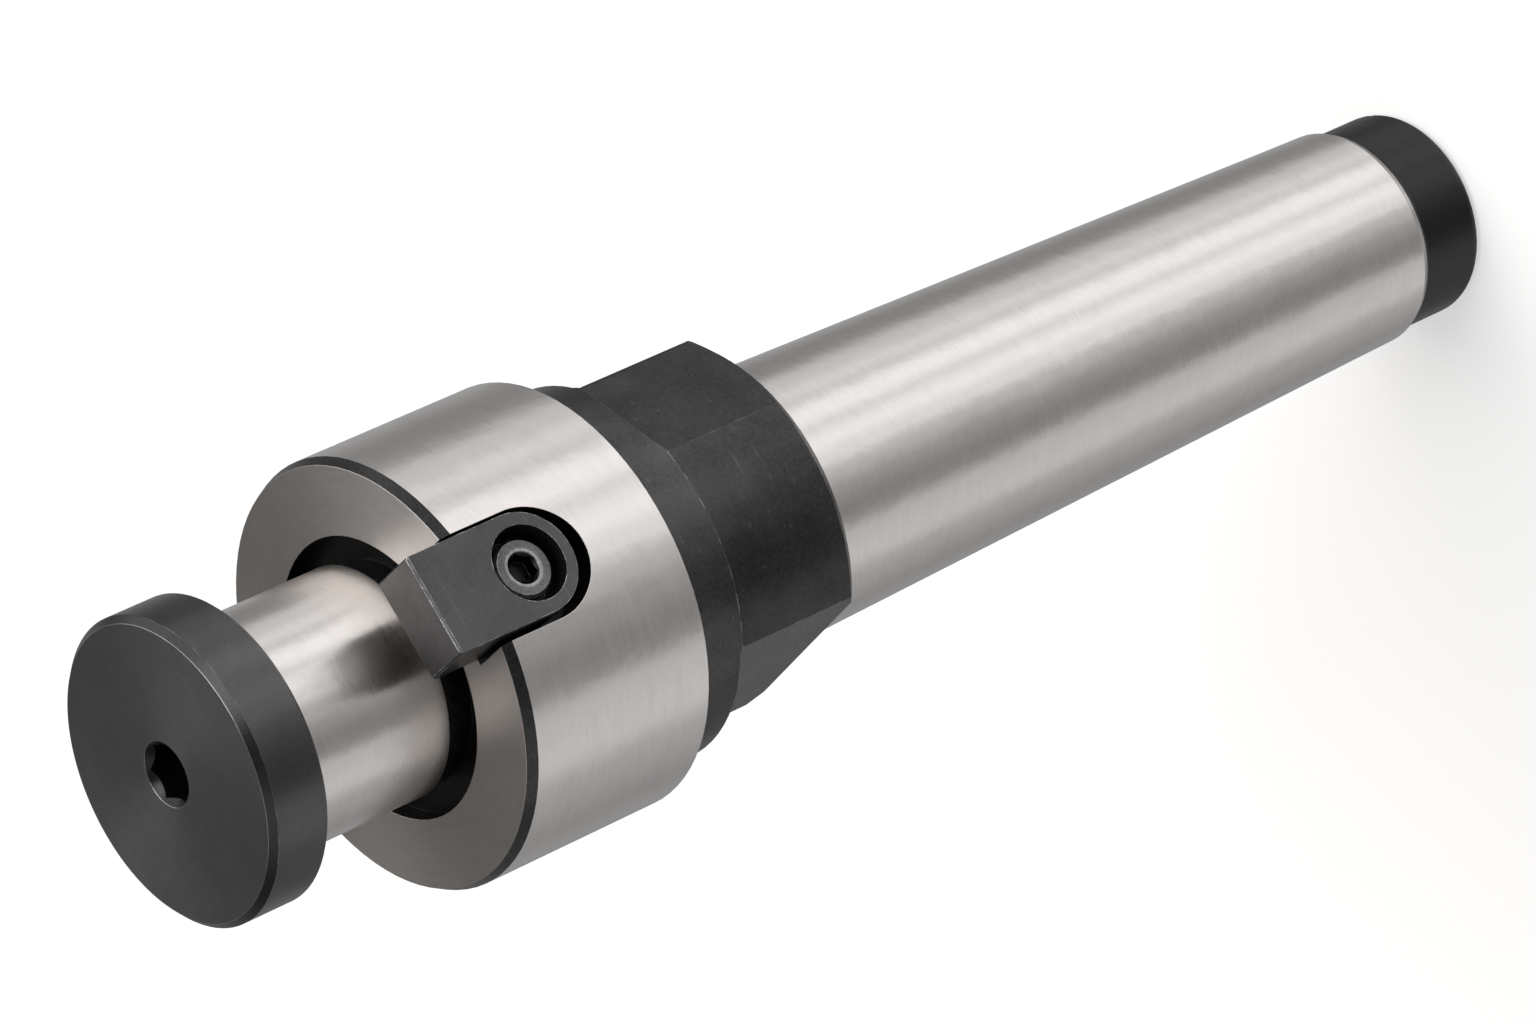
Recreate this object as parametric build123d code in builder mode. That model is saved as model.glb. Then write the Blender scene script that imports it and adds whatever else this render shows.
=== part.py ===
"""Shell mill arbor: a taper shank with a drawbar thread, a pilot with two drive keys, and a clamp screw.

Millimetres. +Z runs up the arbor's axis from the drawbar end to the clamp screw's head. The origin is
the centre of the drawbar end face. The two drive keys face -Y (front) and +Y (back).
"""

import os
from math import cos, radians, sin, tan

from build123d import *

# Taper shank, the standard number 4 self-holding taper with a drawbar thread
gauge_diameter = 31.267
taper_run = 19.254
gauge_to_collar = 6.5
gauge_to_tail_end = 102.5
tail_length = 9.0
tail_step = 0.7
tail_edge_round = 1.4
taper_lead_length = 1.5
taper_lead_round = 2.0
taper_relief_width = 1.6
taper_relief_depth = 0.3

# Drawbar thread in the tail
drawbar_drill_diameter = 14.0
drawbar_hole_depth = 42.0
drawbar_mouth_diameter = 17.0
drawbar_mouth_angle = 60.0

# Collar with its wrench flats and the shallow flat kept for marking
collar_diameter = 44.0
collar_length = 24.8
collar_band_length = 7.4
collar_step = 0.12
collar_chamfer = 1.4
across_flats = 34.0
wrench_flat_turn = 3.4
wrench_run_out = 0.4
marking_flat_depth = 1.15
marking_flat_angle = 33.9

# Flange
flange_diameter = 49.8
flange_length = 25.6
flange_front_chamfer = 0.6
flange_front_chamfer_length = 1.2
flange_rear_chamfer = 0.25

# Pilot for the cutter's bore, relieved at its foot, and the recess round the foot
pilot_diameter = 27.0
pilot_length = 21.5
pilot_edge = 0.5
pilot_relief_diameter = 25.8
pilot_relief_length = 1.4
recess_diameter = 32.6
recess_depth = 2.2
recess_root_round = 0.9

# Drive keys, and the slots that hold them
key_width = 11.8
key_height = 7.3
key_proud = 0.7
key_overhang = 6.2
key_seat_length = 12.7
key_edge_break = 0.25
slot_side_gap = 0.65
slot_end_gap = 2.2

# Key screws
key_screw_diameter = 4.0
key_screw_head_diameter = 7.0
key_screw_head_height = 4.0
key_screw_sink = 1.3
key_screw_length = 9.5
key_screw_setback = 7.0
key_screw_socket_flats = 3.0
key_screw_socket_depth = 2.0
key_counterbore_gap = 0.9
key_screw_hole_spare = 0.6

# Clamp screw, with a disc head that holds the cutter on the pilot
head_diameter = 35.4
head_thickness = 7.6
head_chamfer = 0.8
head_rear_chamfer = 0.3
clamp_thread_diameter = 12.0
clamp_thread_length = 22.0
clamp_tip_chamfer = 1.2
clamp_hole_spare = 4.0
clamp_hole_mouth = 0.8
clamp_socket_flats = 6.0
clamp_socket_mouth = 7.6
clamp_socket_depth = 5.2

# Clearances and drill shapes
thread_clearance = 0.05
key_hole_clearance = 0.25
drill_point_angle = 118.0
screw_edge_break = 0.35
socket_edge_ratio = 1.12
cutter_overrun = 2.0

# Stations along the axis, from the drawbar end face upwards
gauge_plane = gauge_to_tail_end
collar_rear = gauge_plane + gauge_to_collar
flange_rear = collar_rear + collar_length
flats_end = flange_rear - collar_band_length
flange_front = flange_rear + flange_length
pilot_front = flange_front + pilot_length
recess_floor = flange_front - recess_depth

# Radii
tail_end_radius = gauge_diameter / 2 - (gauge_to_tail_end - tail_length) / taper_run / 2
tail_radius = tail_end_radius - tail_step
collar_radius = collar_diameter / 2
flange_radius = flange_diameter / 2
pilot_radius = pilot_diameter / 2
pilot_relief_radius = pilot_relief_diameter / 2
key_top = flange_radius + key_proud
slot_floor = key_top - key_height
slot_width = key_width + 2 * slot_side_gap

key_sides = {"front": -1, "back": 1}


def taper_radius(height):
    """Radius of the tapered shank at a height above the drawbar end face."""
    return gauge_diameter / 2 + (height - gauge_plane) / taper_run / 2


def seat_plane(side, distance):
    """Plane square to a key's radius: local x runs across the key, local y up the arbor's axis."""
    direction = key_sides[side]
    origin = (0, direction * distance, 0)
    return Plane(origin=origin, x_dir=(-direction, 0, 0), z_dir=(0, direction, 0))


def drill_point(radius):
    """Depth of the cone that a twist drill leaves at the bottom of a hole."""
    return radius / tan(radians(drill_point_angle / 2))


def turned_outline():
    """Half section of the one-piece arbor, from the drawbar end up to the pilot's front face."""
    recess_edge = recess_diameter / 2
    pilot_foot = flange_front + pilot_relief_length
    rear_radius = collar_radius - collar_step
    relief_start = collar_rear - taper_relief_width
    relief_radius = taper_radius(relief_start) - taper_relief_depth
    Polyline(
        (0, 0),
        (tail_radius, 0),
        (tail_radius, tail_length),
        (taper_radius(tail_length + taper_lead_length), tail_length + taper_lead_length),
        (taper_radius(relief_start), relief_start),
        (relief_radius, relief_start + taper_relief_depth),
        (relief_radius, collar_rear),
        (rear_radius - collar_chamfer, collar_rear),
        (rear_radius, collar_rear + collar_chamfer),
        (rear_radius, flats_end),
        (collar_radius, flats_end + collar_step),
        (collar_radius, flange_rear),
        (flange_radius - flange_rear_chamfer, flange_rear),
        (flange_radius, flange_rear + flange_rear_chamfer),
        (flange_radius, flange_front - flange_front_chamfer_length),
        (flange_radius - flange_front_chamfer, flange_front),
        (recess_edge, flange_front),
        (recess_edge, recess_floor),
        (pilot_relief_radius, recess_floor),
        (pilot_relief_radius, pilot_foot),
        (pilot_radius, pilot_foot),
        (pilot_radius, pilot_front - pilot_edge),
        (pilot_radius - pilot_edge, pilot_front),
        (0, pilot_front),
        close=True,
    )


def turn_blank():
    """Turn the outline about the axis, rounded at its end, at the taper's small end and in the recess."""
    with BuildSketch(Plane.XZ) as section:
        with BuildLine():
            turned_outline()
        make_face()
        levels = section.vertices().group_by(Axis.Y)
        recess_root = section.vertices().sort_by_distance((pilot_relief_radius, recess_floor))[0]
        fillet(levels[0].sort_by(Axis.X)[-1], tail_edge_round)
        fillet(levels[2], taper_lead_round)
        fillet(recess_root, recess_root_round)
    revolve(section.sketch, axis=Axis.Z)


def mill_flat(angle, distance, run_out):
    """Mill one flat on the collar, square to the radius at an angle round from +X.

    The flat reaches from the collar's rear face to the band under the flange, where it runs out in
    a 45 degree slope.
    """
    radial = (cos(radians(angle)), sin(radians(angle)), 0)
    across = (sin(radians(angle)), -cos(radians(angle)), 0)
    outside = collar_radius + cutter_overrun
    low = collar_rear - gauge_to_collar / 2
    with BuildSketch(Plane(origin=(0, 0, 0), x_dir=radial, z_dir=across)) as section:
        with BuildLine():
            Polyline(
                (distance, low),
                (outside, low),
                (outside, flats_end + run_out),
                (distance + run_out, flats_end + run_out),
                (distance, flats_end),
                close=True,
            )
        make_face()
    extrude(section.sketch, amount=collar_radius, both=True, mode=Mode.SUBTRACT)


def mill_collar():
    """Two parallel wrench flats beside the keys, and a shallow flat next to the front key."""
    for angle in (0, 180):
        mill_flat(angle + wrench_flat_turn, across_flats / 2, wrench_run_out)
    marking_distance = collar_radius - collar_step - marking_flat_depth
    mill_flat(marking_flat_angle - 90, marking_distance, marking_flat_depth)


def key_outline(width, round_end, front_end):
    """Straight-sided outline with a half-round end, along local y."""
    centre = round_end + width / 2
    with Locations((0, centre)):
        Circle(width / 2)
    with Locations((0, (centre + front_end) / 2)):
        Rectangle(width, front_end - centre)


def mill_key_slots():
    """Slots in the flange, open at its front face, with a tapped hole in each floor."""
    slot_end = flange_front - key_seat_length - slot_end_gap
    screw_height = flange_front - key_screw_setback
    web = key_height - key_screw_head_height - key_screw_sink
    hole_depth = key_screw_length - web + key_screw_hole_spare
    for side in key_sides:
        with BuildSketch(seat_plane(side, slot_floor)) as outline:
            key_outline(slot_width, slot_end, flange_front + cutter_overrun)
        extrude(outline.sketch, amount=flange_radius, mode=Mode.SUBTRACT)
        with Locations(seat_plane(side, slot_floor)):
            with Locations((0, screw_height)):
                Hole(radius=key_screw_diameter / 2 + thread_clearance, depth=hole_depth)


def drill_axial_hole(mouth, radius, depth, mouth_radius, mouth_angle):
    """Countersunk hole on the axis, ending in a drill point. The mouth is a plane facing outwards."""
    point = drill_point(radius)
    with Locations(mouth):
        CounterSinkHole(radius, mouth_radius, depth=depth, counter_sink_angle=mouth_angle)
    with Locations(mouth.offset(-depth - point / 2)):
        Cone(bottom_radius=0, top_radius=radius, height=point, mode=Mode.SUBTRACT)


def drill_tapped_holes():
    """Clamp screw's hole in the pilot, and the drawbar's hole in the tail."""
    pilot_face = Plane.XY.offset(pilot_front)
    clamp_radius = clamp_thread_diameter / 2 + thread_clearance
    clamp_depth = clamp_thread_length + clamp_hole_spare
    drill_axial_hole(pilot_face, clamp_radius, clamp_depth, clamp_radius + clamp_hole_mouth, 90)
    tail_face = Plane(origin=(0, 0, 0), x_dir=(1, 0, 0), z_dir=(0, 0, -1))
    drawbar_radius = drawbar_drill_diameter / 2
    mouth_radius = drawbar_mouth_diameter / 2
    drill_axial_hole(tail_face, drawbar_radius, drawbar_hole_depth, mouth_radius, drawbar_mouth_angle)


def make_arbor_body():
    """One piece from drawbar end to pilot: turned, milled, drilled."""
    with BuildPart() as arbor_body:
        turn_blank()
        mill_collar()
        mill_key_slots()
        drill_tapped_holes()
    return arbor_body


def sink_hex_socket(mouth, across, depth, mouth_radius):
    """Hexagon socket with a conical mouth, cut into the face that a plane marks."""
    with BuildSketch(mouth) as hexagon:
        RegularPolygon(radius=across / 2, side_count=6, major_radius=False)
    extrude(hexagon.sketch, amount=-depth, mode=Mode.SUBTRACT)
    with Locations(mouth.offset(-mouth_radius / 2)):
        Cone(bottom_radius=0, top_radius=mouth_radius, height=mouth_radius, mode=Mode.SUBTRACT)


def make_drive_key(side):
    """Key with a half-round rear end, bored for its cap screw, standing proud of the flange face."""
    outer_face = seat_plane(side, key_top)
    key_end = flange_front - key_seat_length
    with BuildPart() as drive_key:
        with BuildSketch(seat_plane(side, slot_floor)):
            key_outline(key_width, key_end, flange_front + key_overhang)
        extrude(amount=key_height)
        front_face = drive_key.faces().sort_by(Axis.Z)[-1]
        chamfer(front_face.edges(), key_edge_break)
        with Locations(outer_face):
            with Locations((0, flange_front - key_screw_setback)):
                CounterBoreHole(
                    radius=key_screw_diameter / 2 + key_hole_clearance,
                    counter_bore_radius=key_screw_head_diameter / 2 + key_counterbore_gap,
                    counter_bore_depth=key_screw_head_height + key_screw_sink,
                )
    return drive_key


def cap_screw_outline():
    """Half section of a key screw, with its head's top face at local y 0."""
    shank = key_screw_diameter / 2
    head = key_screw_head_diameter / 2
    tip = -key_screw_head_height - key_screw_length
    Polyline(
        (0, tip),
        (shank - screw_edge_break, tip),
        (shank, tip + screw_edge_break),
        (shank, -key_screw_head_height),
        (head, -key_screw_head_height),
        (head, -screw_edge_break),
        (head - screw_edge_break, 0),
        (0, 0),
        close=True,
    )


def make_key_screw(side):
    """Cap screw with a hexagon socket, seated in the key's counterbore."""
    direction = key_sides[side]
    screw_height = flange_front - key_screw_setback
    top = key_top - key_screw_sink
    centre = (0, direction * top, screw_height)
    head_face = Plane(origin=centre, x_dir=(-direction, 0, 0), z_dir=(0, direction, 0))
    section_plane = Plane(origin=centre, x_dir=(-direction, 0, 0), z_dir=(0, 0, -1))
    mouth_radius = key_screw_socket_flats / 2 / cos(radians(30)) * socket_edge_ratio
    with BuildPart() as key_screw:
        with BuildSketch(section_plane):
            with BuildLine():
                cap_screw_outline()
            make_face()
        revolve(axis=Axis(centre, (0, direction, 0)))
        sink_hex_socket(head_face, key_screw_socket_flats, key_screw_socket_depth, mouth_radius)
    return key_screw


def clamp_screw_outline():
    """Half section of the clamp screw, whose head seats on the pilot's front face."""
    shank = clamp_thread_diameter / 2
    head = head_diameter / 2
    head_front = pilot_front + head_thickness
    tip = pilot_front - clamp_thread_length
    Polyline(
        (0, tip),
        (shank - clamp_tip_chamfer, tip),
        (shank, tip + clamp_tip_chamfer),
        (shank, pilot_front),
        (head - head_rear_chamfer, pilot_front),
        (head, pilot_front + head_rear_chamfer),
        (head, head_front - head_chamfer),
        (head - head_chamfer, head_front),
        (0, head_front),
        close=True,
    )


def make_clamp_screw():
    """Disc-headed screw that clamps the cutter on the pilot."""
    head_face = Plane.XY.offset(pilot_front + head_thickness)
    with BuildPart() as clamp_screw:
        with BuildSketch(Plane.XZ):
            with BuildLine():
                clamp_screw_outline()
            make_face()
        revolve(axis=Axis.Z)
        sink_hex_socket(head_face, clamp_socket_flats, clamp_socket_depth, clamp_socket_mouth / 2)
    return clamp_screw


def write_node(name, piece):
    """Label a finished piece and write it as its own file."""
    piece.part.label = name
    export_step(piece.part, f"parts/{name}.step")


os.makedirs("parts", exist_ok=True)
write_node("arbor_body", make_arbor_body())
write_node("clamp_screw", make_clamp_screw())
for side in key_sides:
    write_node(f"drive_key_{side}", make_drive_key(side))
    write_node(f"key_screw_{side}", make_key_screw(side))
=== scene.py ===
"""Looks of a shell mill arbor: ground steel, black oxide, and a pale studio.

Metres. The arbor stands on its drawbar end, with its axis on Z and the front drive key towards -Y.
"""

import math
from math import cos, radians, sin

import bmesh
import bpy
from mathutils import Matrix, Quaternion, Vector


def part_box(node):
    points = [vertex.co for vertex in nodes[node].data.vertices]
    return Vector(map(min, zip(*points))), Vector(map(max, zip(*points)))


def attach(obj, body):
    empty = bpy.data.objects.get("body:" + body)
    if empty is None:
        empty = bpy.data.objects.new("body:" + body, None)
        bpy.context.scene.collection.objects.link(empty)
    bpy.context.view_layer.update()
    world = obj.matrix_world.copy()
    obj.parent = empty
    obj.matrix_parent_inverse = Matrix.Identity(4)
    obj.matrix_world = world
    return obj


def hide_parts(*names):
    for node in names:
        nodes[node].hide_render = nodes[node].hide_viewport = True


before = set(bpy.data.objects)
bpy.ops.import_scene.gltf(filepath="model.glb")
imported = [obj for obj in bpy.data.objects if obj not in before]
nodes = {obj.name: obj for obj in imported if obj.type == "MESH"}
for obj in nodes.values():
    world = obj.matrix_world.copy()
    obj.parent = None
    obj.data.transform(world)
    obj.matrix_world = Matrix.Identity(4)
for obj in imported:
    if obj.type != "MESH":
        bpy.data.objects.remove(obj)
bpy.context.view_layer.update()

MM = 0.001

# Stations along the arbor's axis, radii, chamfers and corners
TAPER_START = 9.6 * MM
COLLAR_REAR = 109.0 * MM
FLATS_END = 126.45 * MM
FLANGE_REAR = 133.8 * MM
FLANGE_FRONT = 159.4 * MM
PILOT_FRONT = 180.9 * MM
HEAD_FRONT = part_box("clamp_screw")[1].z
HEAD_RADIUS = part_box("clamp_screw")[1].x
HEAD_CHAMFER = 0.8 * MM
FLANGE_CHAMFER = 1.2 * MM
FLANGE_RADIUS = 24.9 * MM
PILOT_FOOT = FLANGE_FRONT + 1.4 * MM
KEY_FRONT = FLANGE_FRONT + 6.2 * MM
KEY_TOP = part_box("drive_key_back")[1].y
KEY_CORNER = 0.13 * MM
KEY_SCREW_HEIGHT = FLANGE_FRONT - 7.0 * MM
KEY_SCREW_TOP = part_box("key_screw_back")[1].y

# Radii where ground steel starts, and radii round the sockets
TAPER_INNER = 12.6 * MM
PILOT_INNER = 6.5 * MM
SEAT_INNER = 15.0 * MM
HEAD_SOCKET = 3.9 * MM
KEY_SCREW_SOCKET = 1.9 * MM
KEY_SCREW_MOUTH = 2.05 * MM

# A mask reaches this far past the face that it covers
HAIR = 0.03 * MM

# Thread of the clamp screw, 12 mm with a coarse pitch
THREAD_CREST = 6.0 * MM
THREAD_ROOT = 4.95 * MM
THREAD_PITCH = 1.75 * MM
THREAD_STEPS = 48
THREAD_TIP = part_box("clamp_screw")[0].z
THREAD_TOP = PILOT_FRONT - 1.5 * MM
TIP_CHAMFER = 1.2 * MM
HEAD_CUT = THREAD_TOP - 0.5 * MM

# Edges that turn by more than this stay sharp, in degrees
SHARP_TURN = 25

# The photograph's camera
CAMERA_TARGET = Vector((-1.06, 0.189, 103.384)) * MM
CAMERA_AZIMUTH = -10.12
CAMERA_ELEVATION = 35.68
CAMERA_ROLL = -114.48
CAMERA_DISTANCE = 881.64 * MM
CAMERA_LENS = 185.11
FACING = -100.1

# Colours of ground steel and of the tail's black, and the factor that makes the screw head's front
# face lighter than its black
GROUND_COLOUR = (0.742, 0.71, 0.689)
TAIL_COLOUR = (0.0058, 0.0054, 0.006, 1.0)
HEAD_FRONT_TINT = (2.95, 3.0, 3.1, 1.0)

# Floor and lamp
FLOOR_HALF_WIDTH = 4.0
FLOOR_GREY = 0.8
FLOOR_GLOW = 0.52
LAMP_PLACE = (1.55, -1.55, 4.03)
LAMP_SIZE = 2.8
LAMP_POWER = 58.0


def place_camera():
    """Long lens, looking down at the standing arbor, rolled until its head points left."""
    data = bpy.data.cameras.new("product_camera")
    data.lens = CAMERA_LENS
    data.sensor_width = 36.0
    data.clip_start = 0.05
    data.clip_end = 20.0
    camera = bpy.data.objects.new("product_camera", data)
    bpy.context.scene.collection.objects.link(camera)
    azimuth = radians(CAMERA_AZIMUTH)
    elevation = radians(CAMERA_ELEVATION)
    back = Vector((sin(azimuth) * cos(elevation), -cos(azimuth) * cos(elevation), sin(elevation)))
    upright = (-back).to_track_quat("-Z", "Y")
    camera.rotation_mode = "QUATERNION"
    camera.rotation_quaternion = upright @ Quaternion((0, 0, 1), radians(CAMERA_ROLL))
    camera.location = CAMERA_TARGET + back * CAMERA_DISTANCE
    bpy.context.scene.camera = camera


class Sheet:
    """A node tree with short ways to add nodes and join them."""

    def __init__(self, tree):
        self.tree = tree

    def add(self, kind, **settings):
        """A node of a kind, with its properties set."""
        node = self.tree.nodes.new(kind)
        for name, value in settings.items():
            setattr(node, name, value)
        return node

    def join(self, source, target):
        """Feed a socket or a plain value into a socket."""
        if isinstance(source, bpy.types.NodeSocket):
            self.tree.links.new(source, target)
        else:
            target.default_value = source

    def math(self, operation, first, second=0.0, third=0.0, clamp=False):
        """One step of arithmetic, as a socket."""
        node = self.add("ShaderNodeMath", operation=operation, use_clamp=clamp)
        for socket, value in zip(node.inputs, (first, second, third)):
            self.join(value, socket)
        return node.outputs[0]

    def ramp(self, value, low, high, out_low=0.0, out_high=1.0, smooth=True):
        """A value carried from one range to another, held at the ends."""
        node = self.add("ShaderNodeMapRange", clamp=True)
        node.interpolation_type = "SMOOTHSTEP" if smooth else "LINEAR"
        for name, number in (
            ("Value", value),
            ("From Min", low),
            ("From Max", high),
            ("To Min", out_low),
            ("To Max", out_high),
        ):
            self.join(number, node.inputs[name])
        return node.outputs["Result"]

    def mix_colour(self, share, first, second):
        """A blend of two colours."""
        node = self.add("ShaderNodeMix", data_type="RGBA")
        self.join(share, node.inputs[0])
        self.join(first, node.inputs[6])
        self.join(second, node.inputs[7])
        return node.outputs[2]

    def tint(self, colour, factor):
        """A colour multiplied by another, or by a number."""
        node = self.add("ShaderNodeMix", data_type="RGBA", blend_type="MULTIPLY")
        node.inputs[0].default_value = 1.0
        self.join(colour, node.inputs[6])
        self.join(factor, node.inputs[7])
        return node.outputs[2]

    def mix(self, share, first, second):
        """A blend of two numbers."""
        node = self.add("ShaderNodeMix", data_type="FLOAT")
        self.join(share, node.inputs[0])
        self.join(first, node.inputs[2])
        self.join(second, node.inputs[3])
        return node.outputs[0]

    def noise(self, vector, scale, detail=2.0, roughness=0.5):
        """Soft noise from 0 to 1."""
        node = self.add("ShaderNodeTexNoise")
        self.join(vector, node.inputs["Vector"])
        node.inputs["Scale"].default_value = scale
        node.inputs["Detail"].default_value = detail
        node.inputs["Roughness"].default_value = roughness
        return node.outputs["Fac"]

    def place(self):
        """Where a point lies on its piece, as sockets for x, y and z."""
        split = self.add("ShaderNodeSeparateXYZ")
        self.join(self.add("ShaderNodeTexCoord").outputs["Object"], split.inputs[0])
        return split.outputs

    def length(self, first, second):
        """Distance of a point from an axis, from its two offsets."""
        squares = self.math("MULTIPLY", first, first), self.math("MULTIPLY", second, second)
        return self.math("SQRT", self.math("ADD", *squares))

    def group(self, tree, **inputs):
        """A shared effect, with its own values here."""
        node = self.add("ShaderNodeGroup")
        node.node_tree = tree
        for name, value in inputs.items():
            self.join(value, node.inputs[name.replace("_", " ")])
        return node


def grey(level):
    """A neutral colour."""
    return (level, level, level, 1.0)


def new_group(name, inputs, outputs):
    """A shader group with named sockets.

    Returns the tree, its sheet, the sockets that its inputs come in by, and those of its outputs.
    """
    tree = bpy.data.node_groups.new(name, "ShaderNodeTree")
    for label, kind, value in inputs:
        socket = tree.interface.new_socket(label, in_out="INPUT", socket_type=kind)
        socket.default_value = value
    for label, kind in outputs:
        tree.interface.new_socket(label, in_out="OUTPUT", socket_type=kind)
    sheet = Sheet(tree)
    entry = sheet.add("NodeGroupInput")
    leave = sheet.add("NodeGroupOutput")
    return tree, sheet, entry.outputs, leave.inputs


def turned_lines_group():
    """Fine lines left round the axis by a grinding wheel or a lathe tool.

    The lines run at a constant height on a cylinder and at a constant radius on an end face, and
    fade in and out along their length.
    """
    tree, sheet, given, out = new_group(
        "turned_lines",
        [("Lines per metre", "NodeSocketFloat", 2500.0), ("Turn length", "NodeSocketFloat", 3.0)],
        [("Lines", "NodeSocketFloat"), ("Bands", "NodeSocketFloat")],
    )
    x, y, z = sheet.place()
    radius = sheet.length(x, y)
    safe_radius = sheet.math("MAXIMUM", radius, 1e-5)
    across = sheet.math("SUBTRACT", z, radius)
    vectors = []
    for share in (1.0, 0.12):
        spot = sheet.add("ShaderNodeCombineXYZ")
        for offset, target in ((x, spot.inputs[0]), (y, spot.inputs[1])):
            turn = sheet.math("DIVIDE", offset, safe_radius)
            sheet.join(sheet.math("MULTIPLY", turn, given["Turn length"]), target)
        pitch = sheet.math("MULTIPLY", given["Lines per metre"], share)
        sheet.join(sheet.math("MULTIPLY", across, pitch), spot.inputs[2])
        vectors.append(spot.outputs[0])
    sheet.join(sheet.noise(vectors[0], 1.0, 3.0, 0.6), out["Lines"])
    sheet.join(sheet.noise(vectors[1], 1.0, 2.0, 0.5), out["Bands"])
    return tree


def edge_wear_group():
    """Mask of the narrow bright lines where black oxide has rubbed off an edge."""
    tree, sheet, given, out = new_group(
        "edge_wear",
        [("Width", "NodeSocketFloat", 0.0002), ("Amount", "NodeSocketFloat", 1.0)],
        [("Wear", "NodeSocketFloat"), ("Normal", "NodeSocketVector")],
    )
    bevel = sheet.add("ShaderNodeBevel", samples=8)
    sheet.join(given["Width"], bevel.inputs["Radius"])
    geometry = sheet.add("ShaderNodeNewGeometry")
    dot = sheet.add("ShaderNodeVectorMath", operation="DOT_PRODUCT")
    sheet.join(bevel.outputs[0], dot.inputs[0])
    sheet.join(geometry.outputs["Normal"], dot.inputs[1])
    edge = sheet.ramp(dot.outputs["Value"], 0.9994, 0.987)
    place = sheet.add("ShaderNodeTexCoord").outputs["Object"]
    patchy = sheet.ramp(sheet.noise(place, 420.0, 5.0, 0.75), 0.43, 0.62, 0.05, 1.0)
    wear = sheet.math("MULTIPLY", sheet.math("MULTIPLY", edge, patchy), given["Amount"], clamp=True)
    sheet.join(wear, out["Wear"])
    sheet.join(bevel.outputs[0], out["Normal"])
    return tree


def oxide_group():
    """Colour and roughness of black oxide: faint clouds, fine grain and a few light scuffs."""
    tree, sheet, given, out = new_group(
        "black_oxide",
        [
            ("Level", "NodeSocketFloat", 0.09),
            ("Roughness", "NodeSocketFloat", 0.42),
            ("Mottle", "NodeSocketFloat", 1.0),
            ("Scuffs", "NodeSocketFloat", 0.3),
        ],
        [
            ("Color", "NodeSocketColor"),
            ("Roughness", "NodeSocketFloat"),
            ("Height", "NodeSocketFloat"),
        ],
    )
    place = sheet.add("ShaderNodeTexCoord").outputs["Object"]
    clouds = sheet.noise(place, 120.0, 4.0, 0.6)
    grain = sheet.noise(place, 2600.0, 3.0, 0.6)
    stretched = sheet.add("ShaderNodeMapping", vector_type="POINT")
    sheet.join(place, stretched.inputs["Vector"])
    stretched.inputs["Rotation"].default_value = (0.1, 0.9, 0.1)
    stretched.inputs["Scale"].default_value = (45.0, 2200.0, 2200.0)
    scratch = sheet.ramp(sheet.noise(stretched.outputs[0], 1.0, 2.0, 0.5), 0.64, 0.74)
    cloudy = sheet.ramp(clouds, 0.25, 0.75, -0.15, 0.15)
    grainy = sheet.ramp(grain, 0.2, 0.8, -0.16, 0.16)
    uneven = sheet.math("ADD", cloudy, grainy)
    tone = sheet.math("ADD", 1.0, sheet.math("MULTIPLY", uneven, given["Mottle"]))
    tone = sheet.math("ADD", tone, sheet.math("MULTIPLY", scratch, given["Scuffs"]))
    level = sheet.math("MULTIPLY", tone, given["Level"])
    colour = sheet.add("ShaderNodeCombineColor")
    for channel, share in zip(colour.inputs, (1.0, 0.99, 1.01)):
        sheet.join(sheet.math("MULTIPLY", level, share), channel)
    sheet.join(colour.outputs[0], out["Color"])
    rough = sheet.math("MULTIPLY", sheet.ramp(grain, 0.2, 0.8, -0.05, 0.05), given["Mottle"])
    sheet.join(sheet.math("ADD", given["Roughness"], rough), out["Roughness"])
    sheet.join(grain, out["Height"])
    return tree


def new_material(name):
    """A material with a Principled surface. Returns the material, its sheet and its shader."""
    material = bpy.data.materials.new(name)
    material.use_nodes = True
    material.node_tree.nodes.clear()
    sheet = Sheet(material.node_tree)
    shader = sheet.add("ShaderNodeBsdfPrincipled")
    output = sheet.add("ShaderNodeOutputMaterial")
    sheet.join(shader.outputs[0], output.inputs["Surface"])
    return material, sheet, shader


def around_axis(sheet, shader, amount):
    """Stretch highlights square to lines that run round the axis."""
    tangent = sheet.add("ShaderNodeTangent", direction_type="RADIAL", axis="Z")
    sheet.join(tangent.outputs[0], shader.inputs["Tangent"])
    shader.inputs["Anisotropic"].default_value = amount
    shader.inputs["Anisotropic Rotation"].default_value = 0.25


def above(sheet, value, level):
    """1 where a value is over a level, 0 elsewhere."""
    return sheet.math("GREATER_THAN", value, level)


def below(sheet, value, level):
    """1 where a value is under a level, 0 elsewhere."""
    return sheet.math("LESS_THAN", value, level)


def both(sheet, first, second):
    """Where two masks meet."""
    return sheet.math("MULTIPLY", first, second)


def between(sheet, value, low, high):
    """1 where a value is between two levels, 0 elsewhere."""
    return both(sheet, above(sheet, value, low), below(sheet, value, high))


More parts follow.
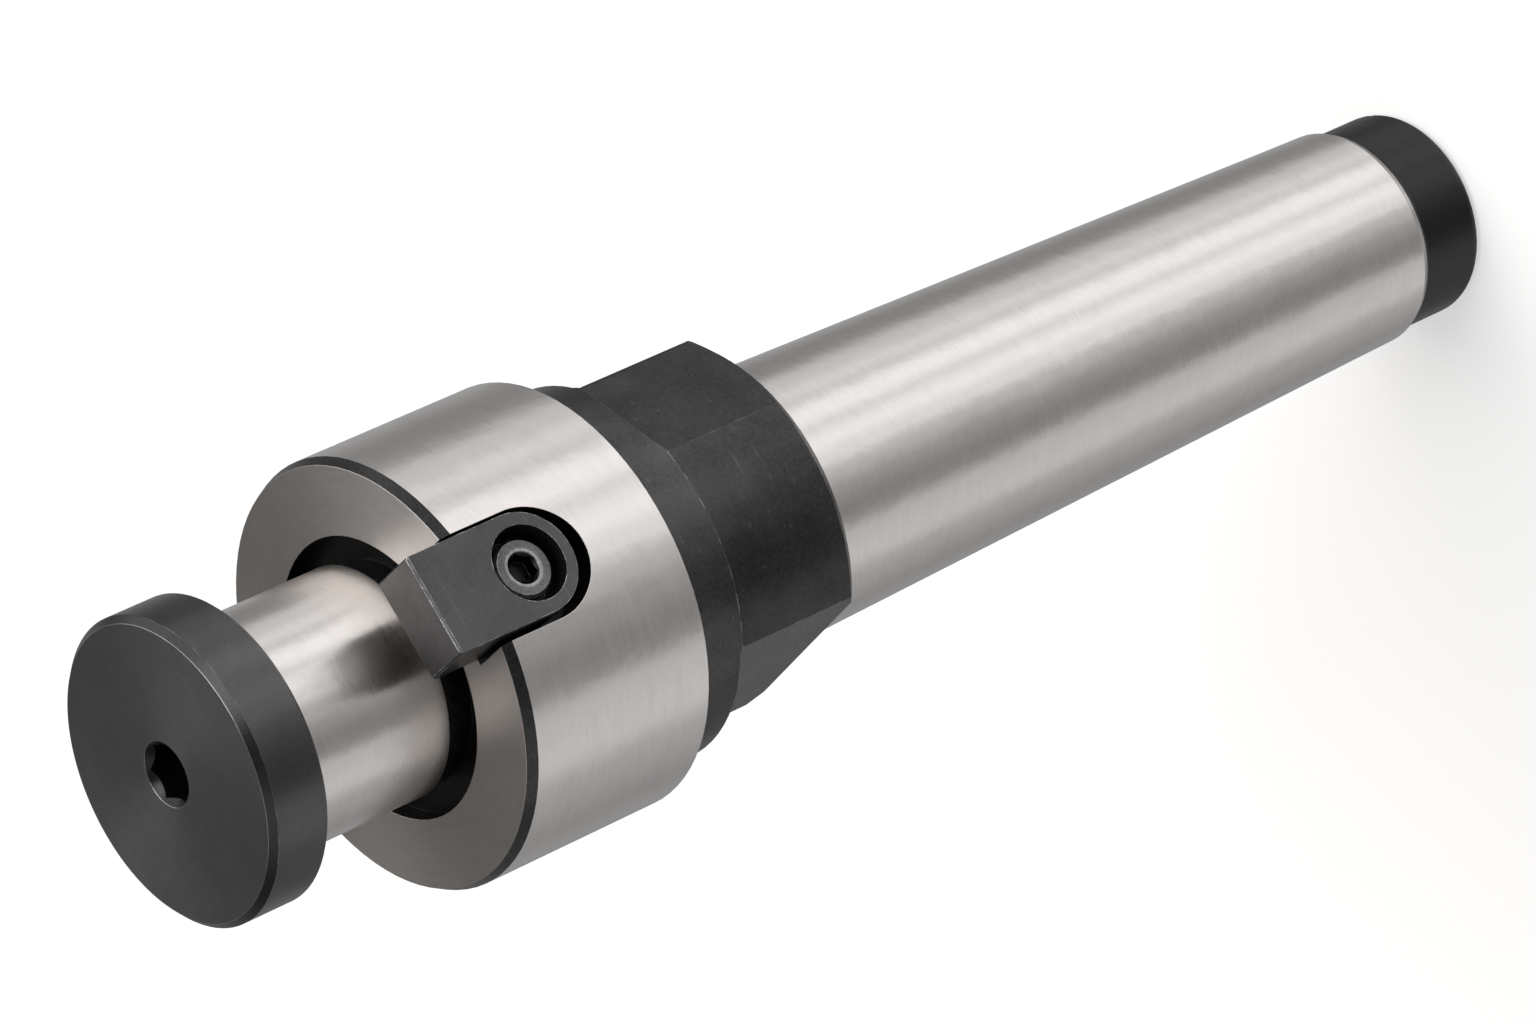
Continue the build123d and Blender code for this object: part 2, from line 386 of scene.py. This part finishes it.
def ground_masks(sheet):
    """Masks of the ground surfaces, cutter seat, tail, hollows for painted shade, rear band for a
    painted sheen, and front edge.
    """
    x, y, z = sheet.place()
    radius = sheet.length(x, y)
    edge_start = FLANGE_FRONT - FLANGE_CHAMFER
    rim_start = FLANGE_REAR + 0.2 * MM
    rim = above(sheet, radius, FLANGE_RADIUS - 0.1 * MM)
    flange = both(sheet, rim, between(sheet, z, rim_start, edge_start))
    face = between(sheet, z, FLANGE_FRONT - HAIR, FLANGE_FRONT + HAIR)
    seat = both(sheet, above(sheet, radius, SEAT_INNER), face)
    pilot = both(sheet, above(sheet, radius, PILOT_INNER), above(sheet, z, PILOT_FOOT + HAIR))
    taper = between(sheet, z, TAPER_START, COLLAR_REAR - 1.6 * MM)
    shank = both(sheet, above(sheet, radius, TAPER_INNER), taper)
    front = sheet.math("MAXIMUM", flange, seat)
    ground = sheet.math("MAXIMUM", front, sheet.math("MAXIMUM", pilot, shank))
    tail = below(sheet, z, TAPER_START)
    inside = below(sheet, radius, FLANGE_RADIUS - 0.15 * MM)
    shaded_hollow = both(sheet, inside, between(sheet, z, FLANGE_REAR + HAIR, edge_start - HAIR))
    band = between(sheet, z, FLATS_END, rim_start)
    front_edge = between(sheet, z, edge_start - HAIR, FLANGE_FRONT + HAIR)
    return ground, seat, tail, shaded_hollow, band, front_edge


def arbor_steel(groups):
    """Ground bright steel on the taper, flange and pilot, black oxide everywhere else."""
    material, sheet, shader = new_material("arbor_steel_ground_and_black")
    lines = sheet.group(groups["lines"], Lines_per_metre=4500.0, Turn_length=5.0)
    ground, seat, tail, shaded_hollow, band, front_edge = ground_masks(sheet)
    # Painted sheen: the rear band's black is lighter than the rest.
    level = sheet.mix(band, 0.061, 0.077)
    oxide = sheet.group(groups["oxide"], Level=level, Roughness=0.34, Mottle=1.3, Scuffs=0.5)
    wear = sheet.group(groups["wear"], Width=0.12 * MM, Amount=0.65)
    streak = sheet.ramp(lines.outputs["Lines"], 0.25, 0.75, 0.955, 1.035)
    bands = sheet.ramp(lines.outputs["Bands"], 0.2, 0.8, 0.975, 1.02)
    tone = sheet.math("MULTIPLY", streak, bands)
    bright = sheet.add("ShaderNodeCombineColor")
    for channel, level in zip(bright.inputs, GROUND_COLOUR):
        sheet.join(sheet.math("MULTIPLY", tone, level), channel)
    unworn = sheet.math("MAXIMUM", shaded_hollow, sheet.math("MULTIPLY", front_edge, 0.75))
    rubbed = sheet.math("MULTIPLY", wear.outputs["Wear"], sheet.math("SUBTRACT", 1.0, unworn))
    black = sheet.mix_colour(rubbed, oxide.outputs["Color"], grey(0.5))
    # Painted shade: the recess, slots and holes inside the flange are darker than the oxide round
    # them.
    black = sheet.mix_colour(shaded_hollow, black, grey(0.042))
    black = sheet.mix_colour(tail, black, TAIL_COLOUR)
    sheet.join(sheet.mix_colour(ground, black, bright.outputs[0]), shader.inputs["Base Color"])
    rough = sheet.ramp(lines.outputs["Lines"], 0.2, 0.8, 0.27, 0.3)
    rough = sheet.math("ADD", rough, sheet.math("MULTIPLY", seat, 0.12))
    sheet.join(sheet.mix(ground, oxide.outputs["Roughness"], rough), shader.inputs["Roughness"])
    sheet.join(sheet.math("SUBTRACT", 1.0, tail), shader.inputs["Metallic"])
    bump = sheet.add("ShaderNodeBump")
    height = sheet.mix(ground, oxide.outputs["Height"], lines.outputs["Lines"])
    sheet.join(height, bump.inputs["Height"])
    bump.inputs["Distance"].default_value = 0.002 * MM
    bump.inputs["Strength"].default_value = 0.45
    waves = sheet.add("ShaderNodeBump")
    place = sheet.add("ShaderNodeTexCoord").outputs["Object"]
    sheet.join(sheet.noise(place, 180.0, 3.0, 0.5), waves.inputs["Height"])
    waves.inputs["Distance"].default_value = 0.08 * MM
    sheet.join(wear.outputs["Normal"], waves.inputs["Normal"])
    sheet.join(waves.outputs[0], bump.inputs["Normal"])
    sheet.join(bump.outputs[0], shader.inputs["Normal"])
    around_axis(sheet, shader, 0.6)
    shader.inputs["IOR"].default_value = 1.42
    return material


def head_shade(sheet):
    """The clamp screw's front face is made lighter, and its chamfer and its socket are darker,
    painted shade.
    """
    x, y, z = sheet.place()
    radius = sheet.length(x, y)
    middle = below(sheet, radius, HEAD_SOCKET)
    # Painted shade in the socket.
    socket = both(sheet, middle, between(sheet, z, PILOT_FRONT, HEAD_FRONT - 0.04 * MM))
    outer = above(sheet, radius, HEAD_RADIUS - HEAD_CHAMFER)
    # Painted shade: the chamfer's black is darker than the rest of the head.
    chamfer = both(sheet, outer, above(sheet, z, HEAD_FRONT - HEAD_CHAMFER))
    rim = sheet.mix_colour(chamfer, grey(1.0), grey(0.62))
    # The front face is made about three times lighter than the head's black.
    front_face = above(sheet, z, HEAD_FRONT - 0.05 * MM)
    return sheet.mix_colour(front_face, rim, HEAD_FRONT_TINT), sheet.mix(socket, 1.0, 0.4)


def key_shade(sheet):
    """A drive key's ground end, darker towards the pilot as painted shade, and its rubbed outer
    corner.
    """
    x, y, z = sheet.place()
    # The ground end is lighter steel, and the ramp also darkens it towards the pilot, a painted
    # shade.
    end = sheet.ramp(sheet.length(x, y), 18.0 * MM, 26.0 * MM, 1.65, 3.2, smooth=False)
    shade = sheet.mix(above(sheet, z, KEY_FRONT - 0.02 * MM), 1.0, end)
    place = sheet.add("ShaderNodeTexCoord").outputs["Object"]
    patches = sheet.ramp(sheet.noise(place, 700.0, 3.0, 0.6), 0.4, 0.6, 2.0, 8.5)
    sideways = sheet.ramp(sheet.math("ABSOLUTE", x), 3.0 * MM, 5.6 * MM, 0.6, 1.0)
    rubbed = sheet.math("MULTIPLY", patches, sideways)
    outer = above(sheet, sheet.math("ABSOLUTE", y), KEY_TOP - KEY_CORNER)
    corner = both(sheet, outer, above(sheet, z, KEY_FRONT - KEY_CORNER))
    return sheet.mix(corner, shade, rubbed), grey(1.0)


def cap_shade(sheet):
    """A key screw has painted highlights at its rim and round its socket, and painted shade in the
    socket.
    """
    x, y, z = sheet.place()
    radius = sheet.length(x, sheet.math("SUBTRACT", z, KEY_SCREW_HEIGHT))
    depth = sheet.math("SUBTRACT", KEY_SCREW_TOP, sheet.math("ABSOLUTE", y))
    # Painted highlights: a lighter ring round the socket's opening and a lighter rim.
    from_mouth = sheet.math("ABSOLUTE", sheet.math("SUBTRACT", radius, KEY_SCREW_MOUTH))
    mouth_highlight = sheet.math("MULTIPLY", sheet.ramp(from_mouth, 0.1 * MM, 0.3 * MM, 1.0, 0.0), 1.1)
    rim = sheet.math("MULTIPLY", sheet.ramp(radius, 3.0 * MM, 3.4 * MM), 0.8)
    shade = sheet.math("ADD", 1.0, sheet.math("ADD", mouth_highlight, rim))
    # Painted shade in the socket.
    socket = both(sheet, above(sheet, depth, 0.12 * MM), below(sheet, radius, KEY_SCREW_SOCKET))
    return shade, sheet.mix(socket, 1.0, 0.2)


def black_steel(name, groups, look, shades, turned=False):
    """Black oxide on steel, rubbed bright at its edges. Some of its faces are darker or lighter,
    from their finish, from wear, and as painted shade and painted highlights.

    The look holds the values of the two groups, and shades gives a tint and the socket's painted
    shade.
    """
    oxide_look, wear_look = look
    material, sheet, shader = new_material(name)
    oxide = sheet.group(groups["oxide"], **oxide_look)
    wear = sheet.group(groups["wear"], **wear_look)
    # The tint holds painted shade and painted highlights beside real finish and wear; socket is
    # painted shade.
    shade, socket = shades(sheet)
    colour = sheet.tint(oxide.outputs["Color"], shade)
    colour = sheet.mix_colour(wear.outputs["Wear"], colour, grey(0.85))
    sheet.join(sheet.tint(colour, socket), shader.inputs["Base Color"])
    rough = sheet.mix(wear.outputs["Wear"], oxide.outputs["Roughness"], 0.25)
    sheet.join(rough, shader.inputs["Roughness"])
    shader.inputs["Metallic"].default_value = 1.0
    bump = sheet.add("ShaderNodeBump")
    height = oxide.outputs["Height"]
    if turned:
        lines = sheet.group(groups["lines"], Lines_per_metre=3000.0, Turn_length=1.2)
        height = sheet.mix(0.6, height, lines.outputs["Lines"])
        around_axis(sheet, shader, 0.6)
    sheet.join(height, bump.inputs["Height"])
    bump.inputs["Distance"].default_value = 0.002 * MM
    bump.inputs["Strength"].default_value = 0.5
    sheet.join(wear.outputs["Normal"], bump.inputs["Normal"])
    sheet.join(bump.outputs[0], shader.inputs["Normal"])
    return material


def cut_square(work, height, keep_above):
    """Cut a shell square to the arbor's axis, keep one side, and close the cut."""
    made = bmesh.ops.bisect_plane(
        work,
        geom=work.verts[:] + work.edges[:] + work.faces[:],
        dist=1e-7,
        plane_co=(0, 0, height),
        plane_no=(0, 0, 1),
        clear_outer=not keep_above,
        clear_inner=keep_above,
    )
    rim = [piece for piece in made["geom_cut"] if isinstance(piece, bmesh.types.BMEdge)]
    bmesh.ops.contextual_create(work, geom=rim)


def wind_thread():
    """Threaded shank of the clamp screw, wound from the section of one turn.

    The section is radii, each with its share of the pitch along the axis.
    """
    work = bmesh.new()
    section = (
        (THREAD_ROOT, 0.0),
        (THREAD_ROOT, 0.125),
        (THREAD_CREST, 0.4375),
        (THREAD_CREST, 0.5625),
        (THREAD_ROOT, 0.875),
        (THREAD_ROOT, 1.0),
    )
    start = THREAD_TIP - 2 * THREAD_PITCH
    turns = math.ceil((THREAD_TOP - start) / THREAD_PITCH) + 1
    corners = [
        work.verts.new((radius, 0, start + share * THREAD_PITCH)) for radius, share in section
    ]
    lines = [work.edges.new(pair) for pair in zip(corners, corners[1:])]
    bmesh.ops.spin(
        work,
        geom=corners + lines,
        cent=(0, 0, 0),
        axis=(0, 0, 1),
        dvec=(0, 0, THREAD_PITCH / THREAD_STEPS),
        angle=2 * math.pi * turns,
        steps=THREAD_STEPS * turns,
    )
    bmesh.ops.remove_doubles(work, verts=work.verts[:], dist=1e-6)
    cut_square(work, THREAD_TIP, True)
    cut_square(work, THREAD_TOP, False)
    for corner in work.verts:
        limit = THREAD_CREST - TIP_CHAMFER + max(corner.co.z - THREAD_TIP, 0.0)
        radius = math.hypot(corner.co.x, corner.co.y)
        if radius > limit:
            corner.co.x *= limit / radius
            corner.co.y *= limit / radius
    bmesh.ops.recalc_face_normals(work, faces=work.faces[:])
    return work


def make_clamp_screw(material):
    """The clamp screw with its thread: the head of the CAD node on a wound shank.

    The head brings the node's own shading normals along. They go once its edges are marked.
    """
    work = wind_thread()
    head = bmesh.new()
    head.from_mesh(nodes["clamp_screw"].data)
    bmesh.ops.remove_doubles(head, verts=head.verts[:], dist=1e-6)
    cut_square(head, HEAD_CUT, True)
    bmesh.ops.recalc_face_normals(head, faces=head.faces[:])
    mesh = bpy.data.meshes.new("clamp_screw_threaded")
    head.to_mesh(mesh)
    work.from_mesh(mesh)
    for face in work.faces:
        face.smooth = True
    for edge in work.edges:
        edge.smooth = edge.calc_face_angle(0.0) < radians(SHARP_TURN)
    work.to_mesh(mesh)
    head.free()
    work.free()
    loaded_normals = mesh.attributes.get("custom_normal")
    if loaded_normals:
        mesh.attributes.remove(loaded_normals)
    mesh.materials.clear()
    mesh.materials.append(material)
    screw = bpy.data.objects.new("clamp_screw_threaded", mesh)
    bpy.context.scene.collection.objects.link(screw)
    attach(screw, "clamp")
    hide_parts("clamp_screw")


def paint(node, material):
    """Give a node one material in each of its slots."""
    for slot in nodes[node].material_slots:
        slot.material = material


# Light panels of the studio. The direction counts degrees round the axis from the camera, then come
# the half width and the width of the soft edge in degrees, and the strength.
SIDE_PANELS = (
    ("left_back", -152, 14, 24, 0.12),
    ("left_glow", -92, 28, 44, 0.24),
    ("left_sheet", -68, 20, 7, 0.36),
    ("left_rim", -54, 3, 5, 0.15),
    ("left_fill", -16, 8, 12, 0.15),
    ("centre_fill", 0, 9, 8, 0.42),
    ("main_sheet", 22, 14.5, 6, 1.05),
    ("main_seam", 16, 2, 4, -0.35),
    ("main_core", 26, 3, 5, 0.3),
    ("main_gap", 40, 6, 4, 0.45),
    ("second_sheet", 55, 10.5, 7, 1.3),
    ("right_sheet", 79, 7.5, 8, 1.0),
    ("right_strip", 97, 7, 7, 0.7),
    ("back_glow", 158, 12, 26, 0.22),
)
TOP_PANELS = (
    ("top_front", 24, 12, 16, 0.4),
    ("top_sheet", 106, 34, 32, 1.55),
    ("top_left", -72, 26, 30, 0.6),
)
SIDE_ROOM = 0.33
TOP_ROOM = 0.16
ROOM_COLOUR = (0.8, 0.8, 0.8, 1.0)
BACK_COLOUR = (0.792, 0.8, 0.804, 1.0)
TOP_COLOUR = (0.824, 0.8, 0.776, 1.0)


def from_camera(sheet, azimuth, centre):
    """Angle between a direction and one that lies so many degrees round from the camera."""
    turn = sheet.math("SUBTRACT", azimuth, radians(FACING + centre))
    return sheet.math("ABSOLUTE", sheet.math("WRAP", turn, math.pi, -math.pi))


def light_studio():
    """Soft panels round the arbor in a pale room, and plain white past the floor to the camera."""
    world = bpy.data.worlds.new("studio")
    bpy.context.scene.world = world
    world.use_nodes = True
    world.node_tree.nodes.clear()
    sheet = Sheet(world.node_tree)
    split = sheet.add("ShaderNodeSeparateXYZ")
    sheet.join(sheet.add("ShaderNodeTexCoord").outputs["Generated"], split.inputs[0])
    x, y, z = split.outputs
    azimuth = sheet.math("ARCTAN2", y, x)
    levels = []
    for panels, room in ((SIDE_PANELS, SIDE_ROOM), (TOP_PANELS, TOP_ROOM)):
        total = room
        for _, centre, half_width, soft, strength in panels:
            away = from_camera(sheet, azimuth, centre)
            near, far = radians(half_width - soft / 2), radians(half_width + soft / 2)
            total = sheet.math("ADD", total, sheet.ramp(away, near, far, strength, 0.0))
        levels.append(total)
    upper = sheet.ramp(z, 0.05, 0.3)
    level = sheet.mix(upper, levels[0], levels[1])
    seen = sheet.add("ShaderNodeLightPath").outputs["Is Camera Ray"]
    behind = sheet.ramp(from_camera(sheet, azimuth, 0.0), radians(95), radians(130))
    side_colour = sheet.mix_colour(behind, ROOM_COLOUR, BACK_COLOUR)
    colour = sheet.mix_colour(upper, side_colour, TOP_COLOUR)
    background = sheet.add("ShaderNodeBackground")
    sheet.join(sheet.mix_colour(seen, colour, grey(1.0)), background.inputs["Color"])
    sheet.join(sheet.mix(seen, level, 1.0), background.inputs["Strength"])
    output = sheet.add("ShaderNodeOutputWorld")
    sheet.join(background.outputs[0], output.inputs["Surface"])


def lay_floor():
    """Plain pale floor that keeps the arbor's shadow."""
    work = bmesh.new()
    bmesh.ops.create_grid(work, x_segments=1, y_segments=1, size=FLOOR_HALF_WIDTH)
    mesh = bpy.data.meshes.new("floor")
    work.to_mesh(mesh)
    work.free()
    floor = bpy.data.objects.new("floor", mesh)
    bpy.context.scene.collection.objects.link(floor)
    material, sheet, shader = new_material("floor_paper")
    shader.inputs["Base Color"].default_value = grey(FLOOR_GREY)
    shader.inputs["Roughness"].default_value = 0.9
    shader.inputs["Specular IOR Level"].default_value = 0.0
    seen = sheet.add("ShaderNodeLightPath").outputs["Is Camera Ray"]
    shader.inputs["Emission Color"].default_value = grey(1.0)
    sheet.join(sheet.math("MULTIPLY", seen, FLOOR_GLOW), shader.inputs["Emission Strength"])
    mesh.materials.append(material)
    floor.visible_glossy = False


def hang_lamp():
    """One broad soft lamp, for the shadow on the floor."""
    data = bpy.data.lights.new("softbox", "AREA")
    data.shape = "DISK"
    data.size = LAMP_SIZE
    data.energy = LAMP_POWER
    lamp = bpy.data.objects.new("softbox", data)
    bpy.context.scene.collection.objects.link(lamp)
    lamp.location = LAMP_PLACE
    lamp.rotation_mode = "QUATERNION"
    lamp.rotation_quaternion = Vector(LAMP_PLACE).to_track_quat("Z", "Y")


groups = {
    "lines": turned_lines_group(),
    "wear": edge_wear_group(),
    "oxide": oxide_group(),
}
paint("arbor_body", arbor_steel(groups))

screw_look = (
    {"Level": 0.105, "Roughness": 0.33, "Mottle": 0.5, "Scuffs": 0.15},
    {"Width": 0.06 * MM, "Amount": 0.4},
)
key_look = (
    {"Level": 0.095, "Roughness": 0.4, "Mottle": 0.8, "Scuffs": 0.3},
    {"Width": 0.1 * MM, "Amount": 0.8},
)
key_screw_look = (
    {"Level": 0.145, "Roughness": 0.36, "Mottle": 2.2, "Scuffs": 0.5},
    {"Width": 0.1 * MM, "Amount": 0.8},
)
make_clamp_screw(black_steel("clamp_screw_oxide", groups, screw_look, head_shade, turned=True))
key_oxide = black_steel("drive_key_oxide", groups, key_look, key_shade)
key_screw_oxide = black_steel("key_screw_oxide", groups, key_screw_look, cap_shade)
for side in ("front", "back"):
    paint(f"drive_key_{side}", key_oxide)
    paint(f"key_screw_{side}", key_screw_oxide)

place_camera()
light_studio()
lay_floor()
hang_lamp()
bpy.context.scene.view_settings.view_transform = "Standard"
